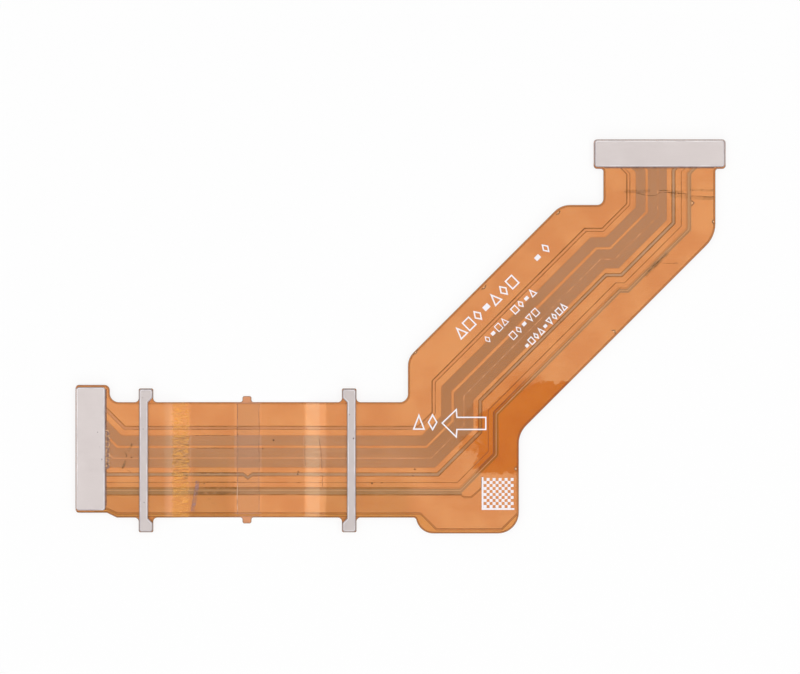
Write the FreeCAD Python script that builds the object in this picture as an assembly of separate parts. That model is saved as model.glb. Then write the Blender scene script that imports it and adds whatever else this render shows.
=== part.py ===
"""A flat flex cable: a flexible printed circuit with a board-to-board plug at each end.

It lies as it rests on a table, stiffened side up. X runs along its length, Y across it and Z
up. The origin is the middle of its box, at the table. Sizes are in millimetres.
"""
import FreeCAD, Part
import math
import os

V = FreeCAD.Vector

# The laminate, from its underside to its top
back_cover_thickness = 0.04
base_thickness = 0.05
copper_thickness = 0.03
front_cover_thickness = 0.028

# Clear films lie this far over what shows through them, for their glue
glue_thickness = 0.002

# Its side view: level at both plugs, and down on the table between the bars
connector_height = 0.60
slope_angle = 13.0
slope_bend_radius = 2.0
bar_to_slope = 2.75

# The left pad, and how far its lower edge lies inside the strip's
left_pad_length = 3.78
left_pad_step = 0.53
left_pad_foot = 0.30
left_pad_slant = 1.10

# The straight strip
strip_width = 12.70
strip_length = 32.80

# The turn upwards, the slanted arm and the neck
riser_width = 12.20
riser_height = 4.86
arm_run = 16.84
arm_width = 14.46
shoulder_length = 4.66
neck_width = 12.33
neck_height = 3.96
bulge_depth = 1.74
bulge_start = 0.85
bulge_lean = 0.50

# The right pad
right_pad_left_ear = 1.08
right_pad_height = 3.26

# Corner radii of the film
pad_corner = 0.40
left_pad_inner_corner = 0.60
left_pad_fillet = 1.00
right_pad_fillet = 0.30
riser_fillet = 0.90
riser_corner = 2.10
shoulder_corner = 2.40
neck_fillet = 0.70
neck_corner = 3.40
elbow_fillet = 2.80
bulge_corner = 2.30
bulge_entry_corner = 1.90
bulge_entry_fillet = 0.35

# The steel bars across the strip
bar_from_left_end = 7.04
bar_spacing = 22.85
bar_shaft_width = 0.96
bar_head_width = 1.46
bar_head_length = 0.97
bar_overhang = 1.54
bar_upper_overhang = 1.44
bar_thickness = 0.25
bar_corner = 0.16
bar_edge_break = 0.04
ear_margin = 0.07
ear_corner_cut = 0.12
ear_fillet = 0.45

# The centre band, and the film tabs at its ends
band_width = 2.40
band_thickness = 0.03
tab_width = 0.98
tab_offset = -0.09
tab_length = 0.66
tab_corner_cut = 0.14
tab_fillet = 0.25

# The steel plates over the plugs
plate_thickness = 0.15
plate_corner = 0.30
plate_edge_break = 0.03
left_plate_margin = 0.26
left_plate_side_margin = 0.10
left_plate_overhang = 0.63
left_plate_length = 3.20
right_plate_side_margin = 0.12
right_plate_end_margin = 0.11
right_plate_overhang = 0.60
right_plate_width = 2.95

# The plugs
contact_pitch = 0.40
left_contacts_per_row = 26
right_contacts_per_row = 28
contact_width = 0.20
contact_thickness = 0.05
contact_foot = 0.30
contact_foot_rise = 0.10
contact_lip = 0.25
contact_recess = 0.02
housing_width = 1.90
housing_end = 1.15
housing_floor = 0.18
housing_side_wall = 0.45
housing_end_wall = 0.62
housing_corner = 0.20
housing_lead_in = 0.08
hold_down_width = 1.10
hold_down_thickness = 0.08
hold_down_foot = 0.25
window_clearance = 0.10

# The copper: how far it stays from the film's edge, and how far it runs under the plates
edge_margin = 0.12
edge_line = 0.50
edge_gap = 0.10
edge_line_bulge_start = 1.40
edge_line_bulge_end = 1.90
pour_margin = 0.16
fan_clearance = 0.05
copper_under_plate = 1.20

# How the copper lines turn: how much closer they lie on the neck than on the strip, how far
# they spread towards the plates (on the left only those above an inset), how much less they
# turn in before the neck, and the wider turn of those beyond an inset
neck_spacing = 0.97
left_fan_from = 8.30
left_fan_spread = 1.38
right_fan_spread = 1.20
neck_turn_relief = 0.86
wide_turn_from = 8.50
wide_turn_extra = 1.25

# The dip of the middle guard trace under the centre band, and the insets that it reaches
dip_depth = 0.38
dip_half_width = 0.50
dip_from = 7.70
dip_to = 8.25

# The slot in the lower pour beside the turn: its width, and its corners from the pour's own
# corner there
slot_width = 0.08
slot_corners = [(-0.24, 0.16), (0.17, -0.21), (0.97, -0.21), (2.11, 0.77), (2.11, 1.98)]

# Each copper piece across the cable, from the upper edge on: its name, then the gap before
# it and its width on the strip, and the same on the slanted arm
copper_rows = [
    ("guard_trace_upper", 0.06, 0.26, 0.06, 0.28),
    ("power_rail_1", 0.06, 0.59, 0.06, 0.72),
    ("signal_bundle_1", 0.07, 1.06, 0.09, 1.08),
    ("power_rail_2", 0.07, 0.19, 0.07, 0.25),
    ("signal_bundle_2", 0.05, 0.99, 0.05, 0.91),
    ("divider_trace", 0.06, 0.08, 0.04, 0.09),
    ("signal_bundle_3", 0.06, 0.91, 0.04, 0.96),
    ("power_rail_3", 0.06, 0.50, 0.07, 0.33),
    ("guard_trace_middle", 0.09, 0.27, 0.08, 0.26),
    ("power_rail_4", 0.09, 0.63, 0.08, 1.12),
    ("power_rail_5", 0.06, 0.48, 0.06, 0.47),
    ("guard_trace_lower", 0.18, 0.15, 0.25, 0.14),
    ("trace_pair", 0.05, 0.41, 0.05, 0.34),
]
upper_pour_on_strip = 2.50
upper_pour_on_arm = 3.49
lower_pour_gap = 0.06

# Levels in the laminate, from its underside
base_level = back_cover_thickness
copper_level = base_level + base_thickness
cover_level = copper_level + copper_thickness
top_level = cover_level + glue_thickness + front_cover_thickness
raised = connector_height - back_cover_thickness

# Cutting columns and slabs start this far outside what they cut, and a smaller radius than
# the next is left sharp
overrun = 1.0
smallest_radius = 0.01

# Points closer than this are one point
touching = 1e-6


def plug_length(contacts):
    return (contacts - 1) * contact_pitch + 2 * housing_end


# The plates reach over the plugs, and the pads round the plates
left_plate_reach = plug_length(left_contacts_per_row) + 2 * left_plate_overhang
right_plate_reach = plug_length(right_contacts_per_row) + 2 * right_plate_overhang
left_pad_height = left_plate_reach + 2 * left_plate_margin
right_pad_width = right_plate_reach + 2 * right_plate_side_margin

# Places along X
length = (left_pad_length + strip_length + arm_run + shoulder_length - right_pad_left_ear
          + right_pad_width)
left_end = -length / 2
right_end = length / 2
left_pad_right = left_end + left_pad_length
riser_left = left_pad_right + strip_length
riser_right = riser_left + riser_width
arm_top_left = riser_left + arm_run
neck_left = arm_top_left + shoulder_length
neck_right = neck_left + neck_width
right_pad_left = neck_left - right_pad_left_ear
left_bar = left_end + bar_from_left_end
right_bar = left_bar + bar_spacing
band_middle = (left_bar + right_bar + bar_shaft_width) / 2

# Places along Y
width = (bulge_depth + strip_width + riser_height + arm_run + neck_height
         + right_pad_height)
bottom = -width / 2
top = width / 2
strip_bottom = bottom + bulge_depth
strip_top = strip_bottom + strip_width
riser_top = strip_top + riser_height
shoulder = riser_top + arm_run
right_pad_bottom = shoulder + neck_height
left_pad_bottom = strip_bottom + left_pad_step
left_pad_top = left_pad_bottom + left_pad_height

# The arm's two edges are the lines y = x + a constant
arm_upper = riser_top - riser_left
arm_lower = arm_upper - arm_width * math.sqrt(2)

# The plates' and plugs' middles
left_plate_x = left_end + left_plate_side_margin + left_plate_length / 2
left_plate_y = (left_pad_bottom + left_pad_top) / 2
left_plate_right = left_plate_x + left_plate_length / 2
right_plate_x = (right_pad_left + right_end) / 2
right_plate_y = top - right_plate_end_margin - right_plate_width / 2
right_plate_bottom = right_plate_y - right_plate_width / 2


def rounded_wire(corners):
    """A closed flat wire through (x, y, radius) corners, each with a tangent arc."""
    edges = []
    last = None
    first = None
    for i, (x, y, radius) in enumerate(corners):
        here = V(x, y, 0)
        back = V(corners[i - 1][0], corners[i - 1][1], 0) - here
        ahead = V(corners[(i + 1) % len(corners)][0], corners[(i + 1) % len(corners)][1], 0) - here
        back.normalize()
        ahead.normalize()
        half = back.getAngle(ahead) / 2
        reach = radius / math.tan(half) if radius > smallest_radius else 0
        start = here + back * reach
        end = here + ahead * reach
        if last is None:
            first = start
        elif last.distanceToPoint(start) > touching:
            edges.append(Part.LineSegment(last, start).toShape())
        if radius > smallest_radius:
            inward = (back + ahead).normalize()
            middle = here + inward * (radius / math.sin(half) - radius)
            edges.append(Part.Arc(start, middle, end).toShape())
        last = end
    if last.distanceToPoint(first) > touching:
        edges.append(Part.LineSegment(last, first).toShape())
    return Part.Wire(edges)


def rounded_face(corners):
    return Part.Face(rounded_wire(corners))


def sharp_face(points):
    return rounded_face([(x, y, 0) for x, y in points])


def rectangle(middle_x, middle_y, size_x, size_y, radius=0):
    """The corners of a rectangle about a middle point, anticlockwise."""
    signs = [(-1, -1), (1, -1), (1, 1), (-1, 1)]
    return [(middle_x + a * size_x / 2, middle_y + b * size_y / 2, radius) for a, b in signs]


def inset(corners, distance):
    """An anticlockwise outline moved inwards: round outer corners shrink, inner ones grow."""
    moved = []
    for i, (x, y, radius) in enumerate(corners):
        before = V(x - corners[i - 1][0], y - corners[i - 1][1], 0).normalize()
        following = corners[(i + 1) % len(corners)]
        after = V(following[0] - x, following[1] - y, 0).normalize()
        turn = before.x * after.y - before.y * after.x
        shift = distance * math.tan(math.acos(before.dot(after)) / 2) * math.copysign(1, turn)
        new_x = x - before.y * distance - before.x * shift
        new_y = y + before.x * distance - before.y * shift
        new_radius = radius - math.copysign(distance, turn) if radius > 0 else 0
        moved.append((new_x, new_y, max(new_radius, 0)))
    return moved


def strip_ears(side):
    """What stands out of the strip along one long edge: +1 is the upper edge, -1 the lower.
    The corners go from left to right."""
    edge = strip_top if side > 0 else strip_bottom
    corners = []

    def lug(low, high, reach, cut, fillet):
        tip = edge + side * reach
        below = tip - side * cut
        corners.extend([(low, edge, fillet), (low, below, 0), (low + cut, tip, 0)])
        corners.extend([(high - cut, tip, 0), (high, below, 0), (high, edge, fillet)])

    ear_reach = (bar_upper_overhang if side > 0 else bar_overhang) + ear_margin

    def ear(head_left, head_right):
        lug(head_left - ear_margin, head_right + ear_margin, ear_reach, ear_corner_cut,
            ear_fillet)

    ear(left_bar, left_bar + bar_head_width)
    tab_middle = band_middle + tab_offset
    lug(tab_middle - tab_width / 2, tab_middle + tab_width / 2, tab_length, tab_corner_cut,
        tab_fillet)
    ear(right_bar + bar_shaft_width - bar_head_width, right_bar + bar_shaft_width)
    return corners


def film_outline(with_ears):
    """The film's outline, anticlockwise from the left pad's lower corner."""
    lower = strip_ears(-1) if with_ears else []
    upper = strip_ears(1)[::-1] if with_ears else []
    bulge_x = riser_left + bulge_start
    corners = [
        (left_end, left_pad_bottom, pad_corner),
        (left_pad_right - left_pad_foot, left_pad_bottom, 0),
        (left_pad_right - left_pad_foot + left_pad_slant, strip_bottom, 0),
    ]
    corners += lower
    corners += [
        (bulge_x, strip_bottom, bulge_entry_fillet),
        (bulge_x + bulge_lean, bottom, bulge_entry_corner),
        (riser_right, bottom, bulge_corner),
        (riser_right, riser_right + arm_lower, elbow_fillet),
        (neck_right, neck_right + arm_lower, neck_corner),
        (neck_right, right_pad_bottom, right_pad_fillet),
        (right_end, right_pad_bottom, pad_corner),
        (right_end, top, pad_corner),
        (right_pad_left, top, pad_corner),
        (right_pad_left, right_pad_bottom, pad_corner),
        (neck_left, right_pad_bottom, right_pad_fillet),
        (neck_left, shoulder, neck_fillet),
        (arm_top_left, shoulder, shoulder_corner),
        (riser_left, riser_top, riser_corner),
        (riser_left, strip_top, riser_fillet),
    ]
    corners += upper
    corners += [
        (left_pad_right, strip_top, left_pad_fillet),
        (left_pad_right, left_pad_top, left_pad_inner_corner),
        (left_end, left_pad_top, pad_corner),
    ]
    return corners


def side_line(level):
    """The side view of one level of the laminate, from left to right, as (x, z, radius)."""
    angle = math.radians(slope_angle)
    lean = level * math.tan(angle / 2)
    run = raised / math.tan(angle)
    left_x = left_bar + bar_shaft_width / 2 + bar_to_slope + lean
    right_x = right_bar + bar_shaft_width / 2 - bar_to_slope - lean
    outer = slope_bend_radius + level
    inner = slope_bend_radius - level
    return [
        (left_end - overrun, raised + level, 0),
        (left_x, raised + level, outer),
        (left_x + run, level, inner),
        (right_x - run, level, inner),
        (right_x, raised + level, outer),
        (right_end + overrun, raised + level, 0),
    ]


def film_slab(low, high):
    """All that lies between two levels of the laminate, whatever the outline."""
    face = rounded_face(side_line(low) + side_line(high)[::-1])
    face.rotate(V(0, 0, 0), V(1, 0, 0), 90)
    face.translate(V(0, bottom - overrun, 0))
    return face.extrude(V(0, width + 2 * overrun, 0))


def film_piece(plan, slab):
    """The part of a slab that lies inside a plan outline."""
    column = plan.extrude(V(0, 0, connector_height + top_level + 2 * overrun))
    column.translate(V(0, 0, -overrun))
    return column.common(slab)


def plug_window(middle_x, middle_y, contacts, upright):
    """The opening in the back cover film that a plug is soldered through."""
    size_along = plug_length(contacts) + 2 * (hold_down_foot + window_clearance)
    size_across = housing_width + 2 * (contact_foot + window_clearance)
    size_x, size_y = (size_across, size_along) if upright else (size_along, size_across)
    return rounded_face(rectangle(middle_x, middle_y, size_x, size_y))


def make_base_film():
    return film_piece(rounded_face(film_outline(True)), film_slab(base_level, copper_level))


def make_back_cover():
    """The film under the base film. It ends at the strip's edges, short of the ears."""
    plan = rounded_face(film_outline(False))
    plan = plan.cut(plug_window(left_plate_x, left_plate_y, left_contacts_per_row, True))
    plan = plan.cut(plug_window(right_plate_x, right_plate_y, right_contacts_per_row, False))
    return film_piece(plan, film_slab(0, base_level))


def make_front_cover():
    return film_piece(rounded_face(film_outline(True)),
                      film_slab(cover_level + glue_thickness, top_level))


def copper_line(on_strip, on_arm):
    """The path of one copper edge along the whole cable, given how far it lies inside the
    strip's upper edge and inside the arm's upper edge."""
    on_neck = on_strip * neck_spacing
    turn = on_strip + (wide_turn_extra if on_strip > wide_turn_from else 0)
    turn_line = strip_top - riser_left - turn * math.sqrt(2)
    arm_line = arm_upper - on_arm * math.sqrt(2)
    neck_line = shoulder - neck_left - (on_neck - neck_turn_relief) * math.sqrt(2)
    strip_y = strip_top - on_strip
    riser_x = riser_left + on_strip
    jog_y = shoulder - on_neck
    neck_x = neck_left + on_neck
    pad_y = strip_y + max(left_fan_from - on_strip, 0) * (left_fan_spread - 1)
    fan_x = left_plate_right + fan_clearance
    neck_middle = neck_left + neck_width / 2
    pad_x = neck_middle + (neck_x - neck_middle) * right_fan_spread
    fan_y = right_plate_bottom - fan_clearance
    jog_x = jog_y - arm_line
    if neck_line < arm_line:
        jog_end = (jog_y - neck_line, jog_y)
    else:
        jog_end = (jog_x, jog_x + neck_line)
    line = [(left_plate_right - copper_under_plate, pad_y), (fan_x, pad_y)]
    if pad_y > strip_y + touching:
        line.append((fan_x + pad_y - strip_y, strip_y))
    if dip_from < on_strip < dip_to:
        line.append((band_middle - dip_half_width, strip_y))
        line.append((band_middle, strip_y - dip_depth))
        line.append((band_middle + dip_half_width, strip_y))
    line += [
        (strip_y - turn_line, strip_y),
        (riser_x, riser_x + turn_line),
        (riser_x, riser_x + arm_line),
        (jog_x, jog_y),
        jog_end,
        (neck_x, neck_x + neck_line),
        (neck_x, fan_y - abs(pad_x - neck_x)),
        (pad_x, fan_y),
        (pad_x, right_plate_bottom + copper_under_plate),
    ]
    return line


def edge_zone(level):
    """The ground under the line that runs beside the strip's and the bulge's lower edge."""
    left_limit = left_plate_right - copper_under_plate
    foot = left_pad_right - left_pad_foot
    turn_x = riser_left + edge_line_bulge_start
    drop = bulge_depth
    corner_x = riser_right - edge_line_bulge_end
    return sharp_face([
        (left_limit, bottom - overrun),
        (riser_right + overrun, bottom - overrun),
        (riser_right + overrun, bottom + level + riser_right + overrun - corner_x),
        (corner_x, bottom + level),
        (turn_x + drop, bottom + level),
        (turn_x, strip_bottom + level),
        (foot + left_pad_slant, strip_bottom + level),
        (foot, left_pad_bottom + level),
        (left_limit, left_pad_bottom + level),
    ])


def slot_face(pour_line):
    """The slot in the lower pour, as a thin band along its corners. It starts at the lowest
    corner of the pour's edge line."""
    corner_y = min(y for x, y in pour_line)
    corner_x = max(x for x, y in pour_line if y < corner_y + touching)
    path = [(corner_x + x, corner_y + y) for x, y in slot_corners]
    thin = [(x, y - slot_width) for x, y in path]
    thin[-1] = (path[-1][0] + slot_width, path[-1][1])
    thin[-2] = (path[-2][0] + slot_width, path[-2][1])
    return sharp_face(path + thin[::-1])


def copper_edges():
    """Each copper piece's name, with the insets of its two edges on the strip and the arm."""
    strip_at = pour_margin + upper_pour_on_strip
    arm_at = pour_margin + upper_pour_on_arm
    edges = []
    for name, strip_gap, strip_size, arm_gap, arm_size in copper_rows:
        near = (strip_at + strip_gap, arm_at + arm_gap)
        strip_at = near[0] + strip_size
        arm_at = near[1] + arm_size
        edges.append((name, near, (strip_at, arm_at)))
    return edges


def make_copper():
    """Every copper piece, as a dictionary of name and solid."""
    slab = film_slab(copper_level, cover_level)
    pieces = {}
    edges = copper_edges()
    for name, near, far in edges:
        plan = sharp_face(copper_line(*near) + copper_line(*far)[::-1])
        pieces[name] = film_piece(plan, slab)

    film = film_outline(False)
    line = copper_line(pour_margin + upper_pour_on_strip, pour_margin + upper_pour_on_arm)
    left_limit = line[0][0]
    top_limit = line[-1][1]
    above = sharp_face(line + [(left_limit, top_limit)])
    upper = rounded_face(inset(film, pour_margin)).common(above)
    pieces["upper_ground_pour"] = film_piece(upper, slab)

    last_on_strip, last_on_arm = edges[-1][2]
    line = copper_line(last_on_strip + lower_pour_gap, last_on_arm + lower_pour_gap)
    below = sharp_face(line + [(right_end, top_limit), (right_end, bottom), (left_limit, bottom)])
    lower = rounded_face(inset(film, pour_margin)).common(below)
    lower = lower.cut(edge_zone(edge_line)).cut(slot_face(line))
    pieces["lower_ground_pour"] = film_piece(lower, slab)
    edge = rounded_face(inset(film, edge_margin)).common(edge_zone(edge_line - edge_gap))
    pieces["edge_ground"] = film_piece(edge, slab)
    return pieces


def make_centre_band():
    band = rounded_face(rectangle(band_middle, (strip_top + strip_bottom) / 2,
                                  band_width, strip_width))
    band_level = top_level + glue_thickness
    return film_piece(band, film_slab(band_level, band_level + band_thickness))


def break_top_edges(solid, size):
    """A small chamfer on every edge of the solid's top face."""
    highest = solid.BoundBox.ZMax
    edges = [e for e in solid.Edges if e.BoundBox.ZMin > highest - touching]
    return solid.makeChamfer(size, edges)


def make_plate(middle_x, middle_y, size_x, size_y):
    plate = rounded_face(rectangle(middle_x, middle_y, size_x, size_y, plate_corner))
    plate.translate(V(0, 0, raised + top_level))
    return break_top_edges(plate.extrude(V(0, 0, plate_thickness)), plate_edge_break)


def make_bar(shaft_x, facing):
    """A dog-bone bar. Its heads stand out on one side: +1 is to the right, -1 to the left."""
    low = strip_bottom - bar_overhang
    high = strip_top + bar_upper_overhang
    flare = bar_head_width - bar_shaft_width
    half = bar_shaft_width / 2
    back = -half
    head = half + flare
    corners = [
        (back, low),
        (head, low),
        (head, low + bar_head_length),
        (half, low + bar_head_length + flare),
        (half, high - bar_head_length - flare),
        (head, high - bar_head_length),
        (head, high),
        (back, high),
    ]
    face = sharp_face([(facing * x, y) for x, y in corners])
    face.translate(V(shaft_x + half, 0, raised + top_level))
    bar = face.extrude(V(0, 0, bar_thickness))
    upright = [e for e in bar.Edges if abs(e.BoundBox.ZLength - bar_thickness) < touching]
    ends = [e for e in upright
            if e.BoundBox.YMin < low + touching or e.BoundBox.YMax > high - touching]
    return break_top_edges(bar.makeChamfer(bar_corner, ends), bar_edge_break)


def make_housing(contacts):
    """A plug's moulding, along X, mating side down, from the table to the base film."""
    size = plug_length(contacts)
    body = rounded_face(rectangle(0, 0, size, housing_width)).extrude(V(0, 0, connector_height))
    upright = [e for e in body.Edges if e.BoundBox.ZLength > connector_height / 2]
    body = body.makeChamfer(housing_corner, upright)
    rim_edges = [e for e in body.Edges if e.BoundBox.ZMax < touching]
    body = body.makeChamfer(housing_lead_in, rim_edges)
    pocket_size = size - 2 * housing_end_wall
    pocket_width = housing_width - 2 * housing_side_wall
    pocket = Part.makeBox(pocket_size, pocket_width, connector_height - housing_floor)
    pocket.translate(V(-pocket_size / 2, -pocket_width / 2, 0))
    row = (contacts - 1) * contact_pitch + 2 * contact_width
    lowered = Part.makeBox(row, housing_width, contact_recess + contact_thickness)
    lowered.translate(V(-row / 2, -housing_width / 2, 0))
    return body.cut(pocket).cut(lowered)


def make_contact():
    """One contact on the +Y wall: a foot that thins out in its solder, the outer face and a
    lip over the wall's crest."""
    wall = housing_width / 2
    outer = wall + contact_thickness
    lip = contact_recess + contact_thickness
    profile = [
        (wall, connector_height),
        (wall + contact_foot, connector_height),
        (outer, connector_height - contact_foot_rise),
        (outer, contact_recess),
        (wall - contact_lip, contact_recess),
        (wall - contact_lip, lip),
        (wall, lip),
    ]
    points = [V(-contact_width / 2, y, z) for y, z in profile]
    face = Part.Face(Part.makePolygon(points + points[:1]))
    return face.extrude(V(contact_width, 0, 0))


def make_contact_row(contacts, side):
    """One row of contacts: +1 is the wall towards +Y, -1 the other."""
    contact = make_contact()
    row = []
    for i in range(contacts):
        copy = contact.copy()
        if side < 0:
            copy.rotate(V(0, 0, 0), V(0, 0, 1), 180)
        copy.translate(V((i - (contacts - 1) / 2) * contact_pitch, 0, 0))
        row.append(copy)
    return Part.makeCompound(row)


def make_hold_downs(contacts):
    """The two steel clips that solder a plug's ends to the film."""
    wall = plug_length(contacts) / 2
    foot_under = connector_height - hold_down_thickness
    outer = wall + hold_down_thickness
    profile = [
        (wall, connector_height),
        (wall + hold_down_foot, connector_height),
        (wall + hold_down_foot, foot_under),
        (outer, foot_under),
        (outer, housing_lead_in),
        (wall, housing_lead_in),
    ]
    points = [V(x, -hold_down_width / 2, z) for x, z in profile]
    clip = Part.Face(Part.makePolygon(points + points[:1])).extrude(V(0, hold_down_width, 0))
    other = clip.copy()
    other.rotate(V(0, 0, 0), V(0, 0, 1), 180)
    return Part.makeCompound([clip, other])


def make_plug(prefix, contacts, middle_x, middle_y, upright):
    """All pieces of one plug in their place, as a dictionary of name and shape."""
    pieces = {
        prefix + "_plug_housing": make_housing(contacts),
        prefix + "_contact_row_a": make_contact_row(contacts, 1),
        prefix + "_contact_row_b": make_contact_row(contacts, -1),
        prefix + "_hold_downs": make_hold_downs(contacts),
    }
    for shape in pieces.values():
        if upright:
            shape.rotate(V(0, 0, 0), V(0, 0, 1), 90)
        shape.translate(V(middle_x, middle_y, 0))
    return pieces


def make_all():
    pieces = {
        "base_film": make_base_film(),
        "back_cover_film": make_back_cover(),
        "front_cover_film": make_front_cover(),
        "centre_band": make_centre_band(),
        "left_stiffener_plate": make_plate(left_plate_x, left_plate_y,
                                           left_plate_length, left_plate_reach),
        "right_stiffener_plate": make_plate(right_plate_x, right_plate_y,
                                            right_plate_reach, right_plate_width),
        "left_bar": make_bar(left_bar, 1),
        "right_bar": make_bar(right_bar, -1),
    }
    pieces.update(make_copper())
    pieces.update(make_plug("left", left_contacts_per_row, left_plate_x, left_plate_y, True))
    pieces.update(make_plug("right", right_contacts_per_row, right_plate_x, right_plate_y, False))
    return pieces


os.makedirs("parts", exist_ok=True)
for name, shape in make_all().items():
    shape.exportStep("parts/" + name + ".step")
    print(name, len(shape.Solids), "solids,", round(shape.Volume, 4), "mm3")
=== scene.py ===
# %% [markdown]
# # A flat flex cable
# A flexible printed circuit: amber film with a copper pattern inside, a plug under each end,
# a steel plate over each plug and two steel bars across the strip. It is seen from straight
# above, lying on a white table.
#
# The solids come from the CAD model. This file gives them their finishes, and adds what is too
# fine for the solids: single signal traces, white ink, vias and specks, and light and shade
# painted as marks: dark lines of painted shade in the grooves and on the rims of the copper,
# dark and bright painted rims on the steel, and the painted shade of creases.

# %% Load the solids
import math

import bmesh
import bpy
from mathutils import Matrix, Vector


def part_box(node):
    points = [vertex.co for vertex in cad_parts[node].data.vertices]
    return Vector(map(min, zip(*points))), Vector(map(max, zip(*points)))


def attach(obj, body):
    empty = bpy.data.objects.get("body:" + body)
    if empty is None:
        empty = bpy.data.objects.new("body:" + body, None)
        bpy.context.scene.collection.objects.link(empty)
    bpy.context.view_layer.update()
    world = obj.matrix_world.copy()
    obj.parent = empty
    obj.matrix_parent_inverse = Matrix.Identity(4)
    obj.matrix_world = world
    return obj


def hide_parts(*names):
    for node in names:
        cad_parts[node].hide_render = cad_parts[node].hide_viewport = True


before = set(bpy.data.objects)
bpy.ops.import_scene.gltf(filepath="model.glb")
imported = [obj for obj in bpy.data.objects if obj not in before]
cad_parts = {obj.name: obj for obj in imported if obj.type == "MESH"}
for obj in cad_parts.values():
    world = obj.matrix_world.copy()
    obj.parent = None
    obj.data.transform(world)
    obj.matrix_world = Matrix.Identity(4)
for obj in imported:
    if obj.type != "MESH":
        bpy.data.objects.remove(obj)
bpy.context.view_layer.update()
MM = 0.001
bpy.ops.object.select_all(action="DESELECT")

# %% [markdown]
# ## Where things are
# The photograph shows 0.11 mm in each of its pixels. One function turns a place in it into a
# place on the table, so that marks can be put where they are seen.

# %% From a place in the picture to a place on the table
pixel = 0.11
picture_middle_x, picture_middle_y = 400.55, 336.4


def at(px, py, z=0.0):
    """A place in the picture as a point in metres. z is in millimetres."""
    return Vector(((px - picture_middle_x) * pixel, (picture_middle_y - py) * pixel, z)) * MM


film_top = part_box("left_stiffener_plate")[0].z
print("top of the raised film:", round(film_top / MM, 3), "mm")

# %% [markdown]
# ## Camera
# The picture was taken from straight above and from far away, so nothing leans. The camera
# stands 450 mm up, and its lens is worked out from the width that it has to show.

# %% Camera
camera_x, camera_y, camera_height = -0.06 * MM, -0.07 * MM, 450 * MM
view_width = 88.0 * MM
sensor_width = 36.0
bpy.ops.object.camera_add(location=(camera_x, camera_y, camera_height), rotation=(0, 0, 0))
camera = bpy.context.object
camera.name = "camera"
camera.data.sensor_width = sensor_width
camera.data.lens = sensor_width * (camera_height - film_top) / view_width
camera.data.clip_start = 0.01
camera.data.clip_end = 20.0
bpy.context.scene.camera = camera
print("lens:", round(camera.data.lens, 1), "mm")

# %% [markdown]
# ## Helpers for materials
# Colours are written as sRGB hex values, as a paint program shows them. Blender reckons with
# linear light, so one function turns them. One function adds a node, whatever its kind, and
# fills its inputs.


# %% Colours and nodes
def rgb(code):
    """An sRGB hex value such as "DD945E" as a linear colour with alpha 1."""
    channels = [int(code[i:i + 2], 16) / 255 for i in (0, 2, 4)]
    return [c / 12.92 if c <= 0.04045 else ((c + 0.055) / 1.055) ** 2.4 for c in channels] + [1.0]


def fill(tree, node, sockets):
    """Fills a node's inputs, by name or number: with an output, a hex colour or a value."""
    for key, value in sockets.items():
        if isinstance(value, bpy.types.NodeSocket):
            tree.links.new(value, node.inputs[key])
        else:
            node.inputs[key].default_value = rgb(value) if isinstance(value, str) else value


def add(tree, kind, sockets, **settings):
    """Adds a node and fills its inputs. kind is its type, without ShaderNode in front."""
    node = tree.nodes.new("ShaderNode" + kind)
    for key, value in settings.items():
        setattr(node, key, value)
    fill(tree, node, sockets)
    return node


print("white in linear light:", rgb("FFFFFF"))

# %% [markdown]
# A material here is made of three things. Clouds are noise with lumps of a real size. Coats are
# colours laid over one another, each where its share is high, as a painter glazes. The dress is
# what goes to the shader in the end: tone, alpha, roughness, glow and relief.


# %% Materials, clouds and coats
def new_material(name, metallic, roughness):
    """A material, its node tree, and the place on the object that its patterns read."""
    material = bpy.data.materials.new(name)
    material.use_nodes = True
    tree = material.node_tree
    fill(tree, tree.nodes["Principled BSDF"], {"Metallic": metallic, "Roughness": roughness})
    return material, tree, add(tree, "TexCoord", {}).outputs["Object"]


def clouds(tree, place, size, detail=2.0, stretch=(1, 1, 1), turn=0.0, cut=None, reach=(0, 1)):
    """Cloudy noise whose lumps are about size millimetres, stretched along an axis. cut is two
    of its values, which become the two ends of reach and are not passed."""
    mapping = add(tree, "Mapping", {"Vector": place, "Rotation": (0, 0, turn),
                                    "Scale": [1 / s for s in stretch]})
    noise = add(tree, "TexNoise", {"Vector": mapping.outputs[0], "Scale": 1 / (size * MM),
                                   "Detail": detail}).outputs["Fac"]
    if cut is None:
        return noise
    return add(tree, "MapRange", {"Value": noise, "From Min": cut[0], "From Max": cut[1],
                                  "To Min": reach[0], "To Max": reach[1]},
               interpolation_type="SMOOTHSTEP").outputs[0]


def coat(tree, tone, *coats):
    """Lays coats over a tone, one after another. A coat is its share, from 0 to 1, and a tone."""
    for share, cover_tone in coats:
        tone = add(tree, "Mix", {0: share, 6: tone, 7: cover_tone}, data_type="RGBA").outputs[2]
    return tone


def dress(material, relief=None, depth=0.0, alpha=1.0, **looks):
    """Gives a material's shader its looks, each a value or an output. relief lifts the shading
    by depth millimetres, and less alpha than 1 lets through what lies below."""
    tree = material.node_tree
    inputs = {"tone": "Base Color", "roughness": "Roughness", "glow": "Emission Strength"}
    sockets = {inputs[look]: value for look, value in looks.items()}
    if relief is not None:
        sockets["Normal"] = add(tree, "Bump", {"Height": relief, "Strength": 1.0,
                                               "Distance": depth * MM}).outputs[0]
    if alpha != 1.0:
        sockets["Alpha"] = alpha
        material.blend_method = "BLEND"
    fill(tree, tree.nodes["Principled BSDF"], sockets)


def mottled(name, metallic, roughness, size, dark, light, cut=None):
    """A plain material: two tones in clouds of size millimetres."""
    material, tree, place = new_material(name, metallic, roughness)
    dress(material, tone=coat(tree, dark, (clouds(tree, place, size, cut=cut), light)))
    return material


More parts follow.
